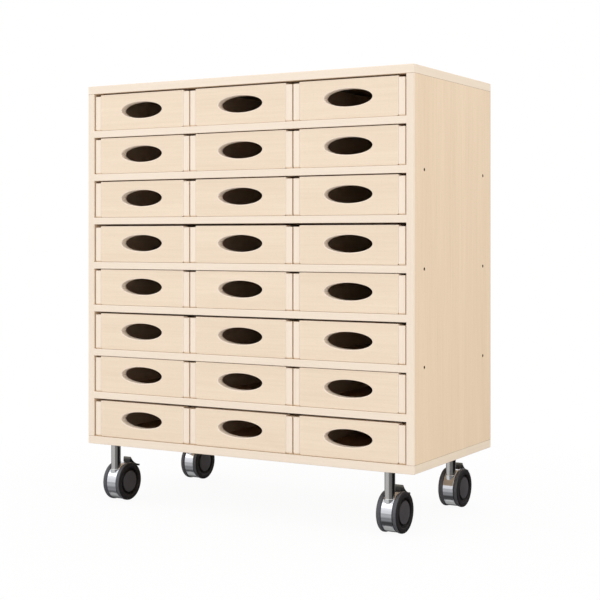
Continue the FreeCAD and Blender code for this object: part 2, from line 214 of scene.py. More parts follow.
def grainPattern(shader, place):
    # 0.5 + fibres + streaks + tone, each a stretched noise times its share, plus flecks that come in where
    # their own noise passes the first of the two levels and are full at the second
    def layer(name, detail, distortion=0.0):
        length, width = grain[name]
        return shader.noise(place, (length, width, width), detail, distortion)

    fibres = layer("fibre", 3.0)
    streaks = layer("streak", 3.0, 0.4)
    tone = layer("tone", 1.0)
    flecks = shader.range(layer("fleck", 0.0), *grain["fleckLevels"])
    darkness = (fibres * grain["fibreShare"] + streaks * grain["streakShare"] + tone * grain["toneShare"]
                + flecks * grain["fleckShare"] + 0.5)
    return fibres, flecks, darkness


def twoShades(look, warmth):
    # the board's colour times 1 + contrast and 1 - contrast, with more contrast in green and blue by warmth
    changes = [look["contrast"] * share for share in (1.0, *warmth)]
    return [colour(*[channel * (1 + sign * change) for channel, change in zip(look["base"], changes)])
            for sign in (1, -1)]


def woodSurface(shader, place, look):
    # base colour between a lighter and a darker shade of the board, by the grain pattern
    fibres, flecks, darkness = grainPattern(shader, place)
    return shader.mix(darkness, *twoShades(look, grain["warmth"])), fibres, flecks


def bandSurface(shader, place, look):
    # edge banding, 0.5 + lines + fibres + tone: fine lines that run along the edge, and a slow change of tone
    lines, fibres, tone = [shader.noise(place, (banding[name][0], banding[name][1], banding[name][1]), detail)
                           for name, detail in (("line", 2.0), ("fibre", 2.0), ("tone", 1.0))]
    darkness = (lines * banding["lineShare"] + fibres * banding["fibreShare"] + tone * banding["toneShare"]
                + 0.5)
    return shader.mix(darkness, *twoShades(look, banding["warmth"])), fibres


def lacquer(shader, base, fibres, flecks=None, specular=grain["specular"]):
    height = fibres if flecks is None else fibres - flecks
    shader.principled({
        "Base Color": base,
        "Roughness": fibres * grain["roughnessSpread"] + grain["roughness"],
        "Normal": shader.bump(height, grain["bumpStrength"], grain["bumpDepth"]),
        "Specular IOR Level": specular,
    })


def boardMaterial(name):
    # wood on the piece's own grain map: u along the grain, v across it, in metres
    material, shader = newMaterial(name)
    place = shader.node("ShaderNodeUVMap", {"uv_map": "grainUv"})
    base, fibres, flecks = woodSurface(shader, place, woods[name])
    lacquer(shader, base, fibres, flecks)
    return material


def bandMaterial(name):
    material, shader = newMaterial(name)
    place = shader.node("ShaderNodeUVMap", {"uv_map": "grainUv"})
    base, fibres = bandSurface(shader, place, woods[name])
    lacquer(shader, base, fibres)
    return material


def turnedPlace(shader, order, offset):
    # object coordinates with the grain's direction brought first
    place = shader.node("ShaderNodeTexCoord", output=3)
    parts = [shader.node("ShaderNodeSeparateXYZ", {}, {0: place}, output=k) for k in range(3)]
    found = shader.node("ShaderNodeCombineXYZ", {}, {k: parts[order[k]] for k in range(3)})
    return shader.node("ShaderNodeVectorMath", {"operation": "ADD"}, {0: found, 1: offset}), parts


# painted shade: the screw recesses in the side panels are darkened to tone, standing in for the shade inside
# them
recessShadeLook = {"inset": 0.050, "radius": 0.00345, "tone": colour(0.050, 0.030, 0.018), "shelves": (2, 4, 6)}


def paintedRecessShade(shader, parts):
    # 1 within the radius of a screw's place, where the recess gets its painted shade: sqrt((|y| - inset from
    # the edge)^2 + (nearest z)^2) < radius
    look = recessShadeLook
    across = parts[1].maths("ABSOLUTE", parts[1], 0.0) - (cadBox[1].y - look["inset"])
    heights = [sum(corner[2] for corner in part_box(f"shelf_{number}")) / 2 for number in look["shelves"]]
    offsets = [parts[2].maths("ABSOLUTE", parts[2] - height, 0.0) for height in heights]
    along = offsets[0].maths("MINIMUM", offsets[0].maths("MINIMUM", offsets[0], offsets[1]), offsets[2])
    return across * across + along * along < look["radius"] ** 2


def uprightPanelMaterial(name, look, offset, bandDepth):
    # grain upright on the faces; within bandDepth of the front and rear edges the banding shows; the screw
    # recesses get a painted shade
    material, shader = newMaterial(name)
    place, parts = turnedPlace(shader, (2, 1, 0), offset)
    edgePlace, _ = turnedPlace(shader, (2, 0, 1), offset)
    face, fibres, flecks = woodSurface(shader, place, look)
    band, bandFibres = bandSurface(shader, edgePlace, woods["caseBand"])
    rear = cadBox[1].y
    onEdge = (parts[1] < bandDepth - rear).highest(parts[1] > rear - bandDepth)
    # painted shade over the wood at the screw recesses
    surface = shader.mix(paintedRecessShade(shader, parts), shader.mix(onEdge, face, band), recessShadeLook["tone"])
    lacquer(shader, surface, fibres, flecks, specular=grain["panelSpecular"])
    return material


trayFace = boardMaterial("trayFace")
caseFace = boardMaterial("caseFace")
shelfFace = boardMaterial("shelfFace")
trayFloor = boardMaterial("trayFloor")
trayBand = bandMaterial("trayBand")
caseBand = bandMaterial("caseBand")
capBand = bandMaterial("capBand")
seamPaintedShade = bandMaterial("seamPaintedShade")
print("wood materials made")


# metal, rubber and plastic
plainLooks = {
    # the tread rubber is a lit copy of the tyre rubber, paler and bluish: a painted highlight and reflection;
    # the wall rubber is a darker copy: painted shade
    "treadRubberLit": {"base": colour(0.078, 0.079, 0.090), "roughness": 0.55, "metallic": 0.0, "lump": 0.0012,
                    "variation": 0.10, "bump": 0.10, "specular": 0.50},
    "wallRubberShaded": {"base": colour(0.0180, 0.0155, 0.0160), "roughness": 0.50, "metallic": 0.0, "lump": 0.0012,
                   "variation": 0.14, "bump": 0.10, "specular": 0.25},
    "wheelPlastic": {"base": colour(0.0100, 0.0080, 0.0070), "roughness": 0.42, "metallic": 0.0,
                     "lump": 0.0020, "variation": 0.10, "bump": 0.06, "specular": 0.20},
    # the cap's grey is partly its own dark plastic and partly a painted sheen, which makes it paler than the
    # hub ring
    "capPlasticSheen": {"base": colour(0.062, 0.056, 0.061), "roughness": 0.40, "metallic": 0.0, "lump": 0.0020,
                   "variation": 0.08, "bump": 0.05, "specular": 0.30},
    "zincSteel": {"base": colour(0.60, 0.60, 0.58), "roughness": 0.35, "metallic": 1.0, "lump": 0.0015,
                  "variation": 0.12, "bump": 0.05, "specular": 0.50},
    # the screw heads are near-black brown, a painted shade of their deep recesses rather than the colour of
    # steel
    "screwPaintedShade": {"base": colour(0.018, 0.012, 0.008), "roughness": 0.50, "metallic": 0.0, "lump": 0.0010,
                   "variation": 0.15, "bump": 0.05, "specular": 0.20},
    "dowelWood": {"base": colour(0.720, 0.540, 0.350), "roughness": 0.65, "metallic": 0.0, "lump": 0.0012,
                  "variation": 0.10, "bump": 0.10, "specular": 0.50},
}


lumpDepth = 0.0002     # how deep the bump of the lumps is, in metres


def plainMaterial(name):
    # one colour with a fine lumpy variation of tone and gloss, for moulded and plated pieces
    look = plainLooks[name]
    base, variation = look["base"], look["variation"]
    material, shader = newMaterial(name)
    place = shader.node("ShaderNodeTexCoord", output=3)
    lumps = shader.noise(place, (look["lump"],) * 3, 3.0)
    shader.principled({
        "Base Color": shader.mix(lumps + 0.5, shaded(base, 1 - variation), shaded(base, 1 + variation)),
        "Roughness": lumps * variation + look["roughness"],
        "Metallic": look["metallic"],
        "Specular IOR Level": look["specular"],
        "Normal": shader.bump(lumps, look["bump"], lumpDepth),
    })
    return material


# pedal: high is a painted highlight on the lit crown, low is the plastic's dark colour
pedalLitTopLook = {"low": colour(0.020, 0.019, 0.014), "high": colour(0.190, 0.190, 0.165), "from": 0.0915,
             "to": 0.0955, "wander": 0.001, "lump": 0.0015, "roughness": 0.32, "variation": 0.1, "bump": 0.08}


def pedalLitTopMaterial(name, look):
    # dark moulded plastic with a painted highlight on the crown, paler above: mixed by height + lumps *
    # wander between the two levels
    material, shader = newMaterial(name)
    place = shader.node("ShaderNodeTexCoord", output=3)
    height = shader.node("ShaderNodeSeparateXYZ", {}, {0: place}, output=2)
    lumps = shader.noise(place, (look["lump"],) * 3, 3.0)
    # painted highlight: paler above the height between the two levels
    paintedLitTop = shader.range(height + lumps * look["wander"], look["from"], look["to"])
    shader.principled({
        "Base Color": shader.mix(paintedLitTop, look["low"], look["high"]),
        "Roughness": lumps * look["variation"] + look["roughness"],
        "Normal": shader.bump(lumps, look["bump"], lumpDepth),
    })
    return material


stemLook = {"base": colour(0.76, 0.745, 0.73), "roughness": 0.12, "roughnessSpread": 0.2, "variation": 0.08,
            "line": (0.0006, 0.036), "stain": 0.02, "stainShare": 0.5, "bump": 0.08, "bumpDepth": 0.00005}


def turnedMetalMaterial(name, look):
    # metal turned about an upright axis: lines + stains * their share + 0.5, the lines (across, up) in size
    base, variation, (across, up) = look["base"], look["variation"], look["line"]
    material, shader = newMaterial(name)
    place = shader.node("ShaderNodeTexCoord", output=3)
    lines = shader.noise(place, (across, across, up), 2.0)
    stains = shader.noise(place, (look["stain"],) * 3, 2.0)
    darkness = lines + stains * look["stainShare"] + 0.5
    shader.principled({
        "Base Color": shader.mix(darkness, shaded(base, 1 - variation), shaded(base, 1 + variation)),
        "Roughness": lines * look["roughnessSpread"] + look["roughness"],
        "Metallic": 1.0,
        "Normal": shader.bump(lines, look["bump"], look["bumpDepth"]),
    })
    return material


# collar: the colour of a painted highlight, brighter chrome round the stems' mouths
hoodLook = {"drum": colour(0.70, 0.71, 0.75), "collar": colour(0.98, 0.99, 1.00), "collarRadius": 0.0128,
            "lump": 0.006, "roughness": 0.09, "variation": 0.04}


def hoodMaterial(name, look):
    # chrome with a painted highlight on the collar, brighter there: (|x| - stem x)^2 + (y - nearest stem y)^2
    # < radius^2
    material, shader = newMaterial(name)
    place = shader.node("ShaderNodeTexCoord", output=3)
    x, y = [shader.node("ShaderNodeSeparateXYZ", {}, {0: place}, output=k) for k in range(2)]
    front, rear = [(Vector(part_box(node)[0]) + Vector(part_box(node)[1])) / 2
                   for node in ("caster_stem_fr", "caster_stem_br")]
    across = x.maths("ABSOLUTE", x, 0.0) - front.x
    along = x.maths("MINIMUM", (y - front.y) * (y - front.y), (y - rear.y) * (y - rear.y))
    lumps = shader.noise(place, (look["lump"],) * 3, 3.0)
    # painted highlight on the collar
    tone = shader.mix(across * across + along < look["collarRadius"] ** 2, look["drum"], look["collar"])
    shade = shader.mix(lumps + 0.5, colour(*[1 - look["variation"]] * 3), colour(1, 1, 1))
    shader.principled({
        "Base Color": shader.mix(1.0, tone, shade, "MULTIPLY"),
        "Roughness": lumps * look["variation"] + look["roughness"],
        "Metallic": 1.0,
    })
    return material


hoodChrome = hoodMaterial("hoodChrome", hoodLook)
stemSteel = turnedMetalMaterial("stemSteel", stemLook)
pedalLitTopPlastic = pedalLitTopMaterial("pedalLitTopPlastic", pedalLitTopLook)
treadRubberLit, wallRubberShaded, wheelPlastic, capPlasticSheen = [
    plainMaterial(name) for name in ("treadRubberLit", "wallRubberShaded", "wheelPlastic", "capPlasticSheen")]
zincSteel, screwPaintedShade, dowelWood = [plainMaterial(name) for name in ("zincSteel", "screwPaintedShade", "dowelWood")]
print("metal, rubber and plastic materials made")


# surfaces worked out as rings of points
meshing = {
    "leastRadius": 0.00004, "cornerSteps": 5, "rimSteps": 4,
    "holePoints": 112, "holeSteps": 5, "backSteps": 3,
    "cornerGap": 0.035,      # how near the hole's even points may come to a corner's arc, as an angle
    "turnedSegments": 96,
    "mapRadius": 0.04,       # one radius for all of a turned piece's map, so that its lines stay straight
    "sharpDegrees": 35,
}


def quarterRim(radius, steps):
    # a rim's rounding from face to wall: inset r(1 - sin t), depth r(1 - cos t), t from 0 to 90 degrees
    turn = np.linspace(0, math.pi / 2, steps) if radius else np.array([math.pi / 2])
    return radius * (1 - np.sin(turn)), radius * (1 - np.cos(turn))


def cornerRings(halfA, halfB, radii, insets, steps):
    # rectangles with arcs at their corners, pulled in by d: corner radius q = max(r - d, least radius),
    # centres at (A - d - q, B - d - q), points at centre + q(cos t, sin t)
    signs = np.array([[1, 1], [-1, 1], [-1, -1], [1, -1]], float)
    turn = (np.arange(4)[:, None] + np.linspace(0, 1, steps)) * math.pi / 2
    reach = np.maximum(np.array(radii)[None, :] - insets[:, None], meshing["leastRadius"])
    centres = signs * (np.array([halfA, halfB]) - insets[:, None, None] - reach[:, :, None])
    arcs = np.stack([np.cos(turn), np.sin(turn)], -1)
    return (centres[:, :, None, :] + reach[:, :, None, None] * arcs).reshape(len(insets), -1, 2)


def aroundLengths(ring):
    # distance along a closed ring, from 0 at its first point round to that point again
    steps = np.linalg.norm(np.roll(ring, -1, axis=0) - ring, axis=1)
    return np.concatenate([[0.0], np.cumsum(steps)])


def ringSurface(rings, closed, around, faceStrips):
    # quads between neighbouring rings. On a strip of the flat face the grain map is the point's own (a, b);
    # on the other strips it is (distance round the ring, distance over the rim)
    ringCount, pointCount = rings.shape[:2]
    row = np.arange(ringCount if closed else ringCount - 1)[:, None]
    column = np.arange(pointCount)[None, :]
    below, right = (row + 1) % ringCount, (column + 1) % pointCount
    quads = np.stack([row * pointCount + column, row * pointCount + right,
                      below * pointCount + right, below * pointCount + column], -1)
    wrapped = np.concatenate([rings, rings[:1]])
    climb = np.concatenate([[0.0], np.cumsum(np.linalg.norm(wrapped[1:, 0] - wrapped[:-1, 0], axis=1))])
    spread = np.concatenate([around, around[:1]])
    u = np.stack([spread[row, column], spread[row, column + 1], spread[row + 1, column + 1],
                  spread[row + 1, column]], -1)
    v = np.stack([climb[row], climb[row], climb[row + 1], climb[row + 1]], -1) + 0 * u
    points = rings.reshape(-1, 3)
    onFace = np.array(faceStrips)[:len(row), None, None, None]
    maps = np.where(onFace, points[quads][..., :2], np.stack([u, v], -1))
    slots = np.where(onFace[..., 0, 0], 0, 1) + 0 * column
    return {"points": points, "quads": quads.reshape(-1, 4), "maps": maps.reshape(-1, 4, 2),
            "slots": slots.reshape(-1), "caps": [], "capSlots": []}


def plate(halfA, halfB, halfC, radii, rims, cornerSteps=meshing["cornerSteps"], lowRimSlot=1, endSlot=1):
    # a board: rounded rectangles stacked through its thickness, pulled in at both faces by the rims' arcs;
    # the low rim and the two ends along the first axis can have materials of their own
    lowInset, lowDepth = quarterRim(rims[0], meshing["rimSteps"])
    highInset, highDepth = quarterRim(rims[1], meshing["rimSteps"])
    insets = np.concatenate([lowInset, highInset[::-1]])
    heights = np.concatenate([lowDepth - halfC, (halfC - highDepth)[::-1]])
    outline = cornerRings(halfA, halfB, radii, insets, cornerSteps)
    rings = np.concatenate([outline, np.broadcast_to(heights[:, None, None], outline.shape[:2] + (1,))], -1)
    edge = cornerRings(halfA, halfB, radii, np.zeros(1), cornerSteps)[0]
    around = np.tile(aroundLengths(edge), (len(rings), 1))
    board = ringSurface(rings, False, around, [False] * len(rings))
    count = rings.shape[1]
    strips = board["slots"].reshape(-1, count)
    strips[:, [2 * cornerSteps - 1, 4 * cornerSteps - 1]] = endSlot
    strips[:len(lowInset) - 1] = lowRimSlot
    first = np.arange(count)
    board["caps"] = [first[::-1], first + (len(rings) - 1) * count]
    board["capSlots"] = [0, 0]
    return board


def boardWithHole(halfA, halfB, halfC, corners, rims, holeHalfA, holeHalfB, holeUp, holeRim):
    # a front board: rings run from the ellipse (A cos t, B sin t) over one face to the outline and back over
    # the other; t is each outline point's angle on the square that the outline is stretched to. The two
    # corner radii are for the upper and the lower corners
    radii = [corners[0], corners[0], corners[1], corners[1]]
    edge = cornerRings(halfA, halfB, radii, np.zeros(1), meshing["cornerSteps"])[0]
    side = np.arctan2(*edge.T[::-1] / [[halfB], [halfA]])
    count = meshing["holePoints"]
    even = np.linspace(-math.pi, math.pi, count, endpoint=False) + math.pi / count
    fromCorner = np.abs(np.abs(np.abs(even) - math.pi / 2) - math.pi / 4)
    turn = np.sort(np.concatenate([side, even[fromCorner > meshing["cornerGap"]]]))
    square = np.stack([np.cos(turn), np.sin(turn)], -1)
    square = square / np.abs(square).max(axis=1, keepdims=True)

    def outer(inset):
        # the square's points, moved inside the corner arcs
        q = np.maximum(np.where(square[:, 1:] > 0, corners[0], corners[1]) - inset, meshing["leastRadius"])
        limit = np.array([halfA, halfB]) - inset
        point = square * limit
        past = np.maximum(np.abs(point) - (limit - q), 0)
        inCorner = (past > 0).all(axis=1, keepdims=True)
        direction = past / np.maximum(np.linalg.norm(past, axis=1, keepdims=True), 1e-12)
        return np.where(inCorner, np.sign(point) * (limit - q + q * direction), point)

    def hole(outset):
        across, up = (holeHalfA + outset) * np.cos(turn), (holeHalfB + outset) * np.sin(turn)
        return np.stack([across, up + holeUp], -1)

    holeInset, holeDepth = quarterRim(holeRim, meshing["holeSteps"])
    frontInset, frontDepth = quarterRim(rims[0], meshing["rimSteps"])
    backInset, backDepth = quarterRim(rims[1], meshing["backSteps"])
    shapes = ([hole(d) for d in holeInset[::-1]] + [outer(d) for d in frontInset]
              + [outer(d) for d in backInset[::-1]] + [hole(d) for d in holeInset])
    heights = np.concatenate([holeDepth[::-1] - halfC, frontDepth - halfC, (halfC - backDepth)[::-1],
                              halfC - holeDepth])
    depths = np.broadcast_to(heights[:, None, None], (len(shapes), len(turn), 1))
    rings = np.concatenate([np.stack(shapes), depths], -1)
    nearHole = len(holeInset)
    nearBack = nearHole + len(frontInset) + len(backInset)
    faceStrips = [k in (nearHole - 1, nearBack - 1) for k in range(len(rings))]
    holeAround, outerAround = aroundLengths(hole(0.0)), aroundLengths(outer(0.0))
    around = np.stack([outerAround if nearHole <= k < nearBack else holeAround for k in range(len(rings))])
    return ringSurface(rings, True, around, faceStrips)


def revolved(profile, closed, slots):
    # a profile (along, radius) turned about the first axis: (along, r cos t, r sin t)
    segments = meshing["turnedSegments"]
    turn = np.linspace(0, 2 * math.pi, segments, endpoint=False)
    along, radius = np.array(profile).T
    across = [radius[:, None] * np.cos(turn), radius[:, None] * np.sin(turn)]
    rings = np.stack([along[:, None] + 0 * turn, *across], -1)
    around = np.tile(np.linspace(0, 2 * math.pi * meshing["mapRadius"], segments + 1), (len(rings), 1))
    part = ringSurface(rings, closed, around, [False] * len(rings))
    part["slots"] = np.repeat(np.array(slots)[:len(rings) if closed else len(rings) - 1], segments)
    if not closed:
        first = np.arange(segments)
        part["caps"] = [first[::-1], first + (len(rings) - 1) * segments]
        part["capSlots"] = [slots[0], slots[-1]]
    return part


def placed(part, origin, axes, shift=(0.0, 0.0)):
    # the part's (a, b, c) carried along the three axes from the origin, turned right side out: its volume,
    # the sum of p0 . (p1 x p2) / 6 over its triangles, is made positive
    points = part["points"] @ np.array(axes, float) + np.array(origin, float)
    quads, caps = part["quads"], part["caps"]
    corner = points[quads]
    volume = (np.einsum("ij,ij->i", corner[:, 0], np.cross(corner[:, 1], corner[:, 2])).sum()
              + np.einsum("ij,ij->i", corner[:, 0], np.cross(corner[:, 2], corner[:, 3])).sum())
    for cap in caps:
        fan = points[cap]
        volume += (np.cross(fan[1:-1], fan[2:]) @ fan[0]).sum()
    turn = 1 if volume > 0 else -1
    capMaps = [part["points"][cap][:, :2] for cap in caps]
    return {"points": points, "quads": quads[:, ::turn], "maps": part["maps"][:, ::turn] + shift,
            "slots": part["slots"], "caps": [cap[::turn] for cap in caps],
            "capMaps": [capMap[::turn] + shift for capMap in capMaps], "capSlots": part["capSlots"]}


def makePiece(name, parts, materials, node):
    # joins the placed parts into one mesh; each part's slots count on from its own first material
    points, faces, maps, slots = [], [], [], []
    start = 0
    for part, firstSlot in parts:
        faces += (part["quads"] + start).tolist() + [(cap + start).tolist() for cap in part["caps"]]
        maps += [part["maps"].reshape(-1, 2)] + part["capMaps"]
        slots += [part["slots"] + firstSlot, np.array(part["capSlots"], int) + firstSlot]
        points.append(part["points"])
        start += len(part["points"])
    mesh = bpy.data.meshes.new(name)
    mesh.from_pydata(np.concatenate(points), [], faces)
    mesh.uv_layers.new(name="grainUv").data.foreach_set("uv", np.concatenate(maps).ravel())
    mesh.polygons.foreach_set("material_index", np.concatenate(slots).astype(np.int32))
    mesh.polygons.foreach_set("use_smooth", np.ones(len(mesh.polygons), bool))
    for material in materials:
        mesh.materials.append(material)
    mesh.set_sharp_from_angle(angle=math.radians(meshing["sharpDegrees"]))
    mesh.update()
    piece = bpy.data.objects.new(name, mesh)
    bpy.context.scene.collection.objects.link(piece)
    piece.modifiers.new("evenShading", "WEIGHTED_NORMAL").keep_sharp = True
    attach(piece, nodes[node]["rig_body"])
    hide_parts(node)


def boxMiddle(node):
    low, high = (np.array(corner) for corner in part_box(node))
    return (low + high) / 2, (high - low) / 2


alongX, alongY, alongZ = np.eye(3)
shuffle = np.random.default_rng(7)
veneerSize = 60     # metres


def anyShift():
    # a random place on the endless veneer, so that no two boards share their grain
    return shuffle.uniform(0, veneerSize, 2)


# trays, in metres
trayLook = {
    "sideThickness": 0.015, "backThickness": 0.012, "floorThickness": 0.005, "floorLift": 0.006,
    "frontThickness": 0.019, "frontProud": 0.0005, "frontLift": 0.0004, "sideDrop": 0.003,
    "edgeRadius": 0.001, "jointRadius": 0.0002, "jointGap": 0.00030, "grooveDepth": 0.0055,
    "footRadius": 0.0042,         # lower front corners of the side boards
    "lowCornerRadius": 0.0042,    # lower corners of the front board
    "crispRadius": 0.0003,        # edges that are left sharp
    "holeWidth": 0.115, "holeHeight": 0.0378, "holeCentre": 0.0444, "holeRadius": 0.002,
}


def trayBoards(node):
    look = trayLook
    low, high = (np.array(corner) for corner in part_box(node))
    middleX = (low[0] + high[0]) / 2
    halfWidth = (high[0] - low[0]) / 2
    innerHalf = halfWidth - look["sideThickness"]
    sideFront = low[1] + look["frontProud"]
    length = high[1] - sideFront
    sideHeight = high[2] - low[2] - look["sideDrop"]
    edge, crisp = look["edgeRadius"], look["crispRadius"]
    frontLow, frontHigh = low[2] + look["frontLift"], high[2]
    frontMiddle = (frontLow + frontHigh) / 2
    front = boardWithHole(innerHalf - look["jointGap"], (frontHigh - frontLow) / 2,
                          look["frontThickness"] / 2, (edge, look["lowCornerRadius"]), (edge, crisp),
                          look["holeWidth"] / 2, look["holeHeight"] / 2,
                          low[2] + look["holeCentre"] - frontMiddle, look["holeRadius"])
    side = plate(length / 2, sideHeight / 2, look["sideThickness"] / 2,
                 [edge, edge, look["footRadius"], edge], (look["jointRadius"], edge))
    back = plate(innerHalf, sideHeight / 2, look["backThickness"] / 2, [edge] * 4, (crisp, crisp))
    frontY = low[1]
    floorFront = frontY + look["frontThickness"] - look["grooveDepth"]
    floorRear = high[1] - look["backThickness"] + look["grooveDepth"]
    floor = plate((floorRear - floorFront) / 2, innerHalf + look["grooveDepth"], look["floorThickness"] / 2,
                  [crisp] * 4, (0.0, 0.0))
    sideMiddleZ = low[2] + sideHeight / 2
    middleY = (sideFront + high[1]) / 2
    sideX = halfWidth - look["sideThickness"] / 2
    placedSides = [placed(side, (middleX + hand * sideX, middleY, sideMiddleZ),
                          (alongY, alongZ, alongX * hand), anyShift()) for hand in (-1, 1)]
    placedFront = placed(front, (middleX, frontY + look["frontThickness"] / 2, frontMiddle),
                         (alongX, alongZ, alongY), anyShift())
    placedBack = placed(back, (middleX, high[1] - look["backThickness"] / 2, sideMiddleZ),
                        (alongX, alongZ, alongY), anyShift())
    placedFloor = placed(floor, (middleX, (floorFront + floorRear) / 2,
                                 low[2] + look["floorLift"] + look["floorThickness"] / 2),
                         (alongY, alongX, alongZ), anyShift())
    return [(placedFront, 0), (placedSides[0], 0), (placedSides[1], 0), (placedBack, 0), (placedFloor, 2)]


trayNodes = sorted(name for name in nodes if name.startswith("tray_"))
for node in trayNodes:
    makePiece(node + "_boards", trayBoards(node), [trayFace, trayBand, trayFloor, trayFloor],
              node)
print("trays made:", len(trayNodes))


# top and bottom panels and shelves
capLook = {"cornerRadius": 0.003, "rimRadius": 0.0015, "seamRadius": 0.0006}
shelfLook = {"edgeRadius": 0.001, "endRadius": 0.0002,
             "letIn": 0.001}     # how far a shelf's ends run into the sides

for node, level in (("top_panel", 1), ("bottom_panel", -1)):
    middle, half = boxMiddle(node)
    # the low rim, at the seam, takes the painted seam shade
    rims = (capLook["seamRadius"], capLook["rimRadius"])
    board = plate(half[0], half[1], half[2], [capLook["cornerRadius"]] * 4, rims, cornerSteps=8,
                  lowRimSlot=2, endSlot=3)
    board = placed(board, middle, (alongX, alongY, alongZ * level), anyShift())
    makePiece(node + "_board", [(board, 0)], [caseFace, caseBand, seamPaintedShade, capBand], node)

for number in range(1, 8):
    node = f"shelf_{number}"
    middle, half = boxMiddle(node)
    edge = shelfLook["edgeRadius"]
    board = plate(half[0] + shelfLook["letIn"], half[1], half[2], [shelfLook["endRadius"]] * 4, (edge, edge))
    board = placed(board, middle, (alongX, alongY, alongZ), anyShift())
    makePiece(node + "_board", [(board, 0)], [shelfFace, caseBand], node)
print("panels and shelves made")


# wheels
wheelLook = {
    "tyreDepth": 0.012, "shoulder": 0.004, "capRadius": 0.0245, "capRise": 0.001,
    "ringDepth": 0.0036, "ringEdge": 0.0012, "bore": 0.004,
    "lip": 0.0006, "lipRise": 0.002,     # rounding of the tyre's outer wall at its seat, and its height there
    "soft": 0.0005, "bevel": 0.0008,     # rounding of the cap and ring, and slope of the ring's walls
    "ringLift": 0.0002,                  # how far the ring's rounding stands out past its edge
    "crownCentre": 0.02,                 # how far in the cap's rings run, as a share of its radius
    "wallShare": 0.6,                    # share of the outer shoulder that has the wall rubber, the darker copy that is painted shade
}


def arcPoints(centre, radius, fromDegrees, toDegrees, steps):
    # centre + r(cos t, sin t)
    turn = np.radians(np.linspace(fromDegrees, toDegrees, steps))
    return np.stack([centre[0] + radius * np.cos(turn), centre[1] + radius * np.sin(turn)], -1)


def wheelParts(node, hand):
    # profiles run from the inner face (along 0) to the outer face (along the wheel's width)
    look = wheelLook
    middle, half = boxMiddle(node)
    width, radius = 2 * half[0], half[2]
    seat = radius - look["tyreDepth"]
    bend, lip, soft, bevel = look["shoulder"], look["lip"], look["soft"], look["bevel"]
    tyre = np.concatenate([
        [(0, seat)],
        arcPoints((bend, radius - bend), bend, 180, 90, 7),
        arcPoints((width - bend, radius - bend), bend, 90, 0, 7),
        arcPoints((width - lip, seat + look["lipRise"]), lip, 0, -90, 4),
        [(width - 2 * lip, seat)],
    ])
    capEdge = width - look["capRise"]
    dish = capEdge - look["ringDepth"]
    ringOuter = seat - look["ringEdge"]
    cap = look["capRadius"]
    crown = np.linspace(1, look["crownCentre"], 12)[:, None]
    crownArc = np.concatenate([capEdge + look["capRise"] * (1 - crown ** 2), (cap - soft) * crown], -1)
    centre = np.concatenate([
        [(0, look["bore"]), (0, seat - bevel), (bevel, seat)],
        [(capEdge - lip, seat), (capEdge, seat - lip)],
        arcPoints((capEdge - soft, ringOuter + look["ringLift"]), soft, 0, -60, 4),
        [(dish + bevel, ringOuter - look["ringEdge"]), (dish, ringOuter - look["ringEdge"] - bevel)],
        [(dish, cap + look["ringEdge"] + lip), (dish + lip, cap + look["ringEdge"])],
        arcPoints((capEdge - 2 * soft, cap - soft), soft, 90, 20, 4),
        crownArc,
    ])
    capStart = len(centre) - len(crownArc) - 4
    slots = [2] * capStart + [3] * (len(centre) - capStart)
    wall = [1 if along > width - look["wallShare"] * bend or out < seat + look["lipRise"] / 2 else 0
            for along, out in tyre]
    origin = middle - alongX * hand * half[0]
    axes = (alongX * hand, alongY, alongZ)
    return [(placed(revolved(tyre, True, wall), origin, axes), 0),
            (placed(revolved(centre, False, slots), origin, axes), 0)]


for corner in ("fl", "fr", "bl", "br"):
    for handName, hand in (("left", -1), ("right", 1)):
        node = f"wheel_{handName}_{corner}"
        makePiece(node + "_tyre", wheelParts(node, hand), [treadRubberLit, wallRubberShaded, wheelPlastic, capPlasticSheen],
                  node)
print("wheels made")


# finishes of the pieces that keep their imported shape
panelLook = {"bandDepth": 0.0032, "leftVeneer": (3.1, 1.7, 0.4), "rightVeneer": (8.3, 5.2, 2.6),
             "backVeneer": (12.4, 9.1, 4.8)}     # veneer: where on the endless grain each panel is cut from
keptFinishes = {
    "side_panel_left": uprightPanelMaterial("leftPanelWood", woods["caseFace"], panelLook["leftVeneer"],
                                            panelLook["bandDepth"]),
    "side_panel_right": uprightPanelMaterial("rightPanelWood", woods["caseFace"], panelLook["rightVeneer"],
                                             panelLook["bandDepth"]),
    "back_panel": uprightPanelMaterial("backPanelWood", woods["backFace"], panelLook["backVeneer"], 0.0),
    # screw heads finished in painted shade
    "shelf_screws": screwPaintedShade,
    "carcass_dowels": dowelWood,
    "caster_inserts": zincSteel,
    "caster_washers": zincSteel,
}
for corner in ("fl", "fr", "bl", "br"):
    keptFinishes[f"caster_stem_{corner}"] = stemSteel
    keptFinishes[f"caster_hood_{corner}"] = hoodChrome
    keptFinishes[f"caster_brake_{corner}"] = pedalLitTopPlastic
for node, material in keptFinishes.items():
    for slot in nodes[node].material_slots:
        slot.material = material
print("kept pieces finished:", len(keptFinishes))


# floor, light and camera
studio = {
    "worldLight": 0.97, "floorReach": 40.0, "floorTone": 0.80,
    "floorWhite": 0.94,              # the floor's whiteness at the unit
    "shadowReach": (0.45, 1.30),     # from where, out from the middle, it grows, and where it is full
    "keyPlace": (-2.6, -3.6, 3.0), "keySize": 2.6, "keyPower": 18.0,
    "topPlace": (0.4, -0.6, 4.2), "topSize": 3.0, "topPower": 24.0,
    "fillPlace": (3.4, -1.6, 1.4), "fillSize": 2.4, "fillPower": 7.0,
    "cameraPlace": (1.5810, -2.6808, 0.6212), "cameraTurn": 29.992,
    "cameraLens": 79.56, "cameraShift": -0.1046,
}


def seenDirectly(shader):
    # 1 on camera, glossy and transmission rays, 0 on the rays that carry light
    path = [shader.node("ShaderNodeLightPath", output=name) for name in
            ("Is Camera Ray", "Is Glossy Ray", "Is Transmission Ray")]
    return path[0].highest(path[1]).highest(path[2])


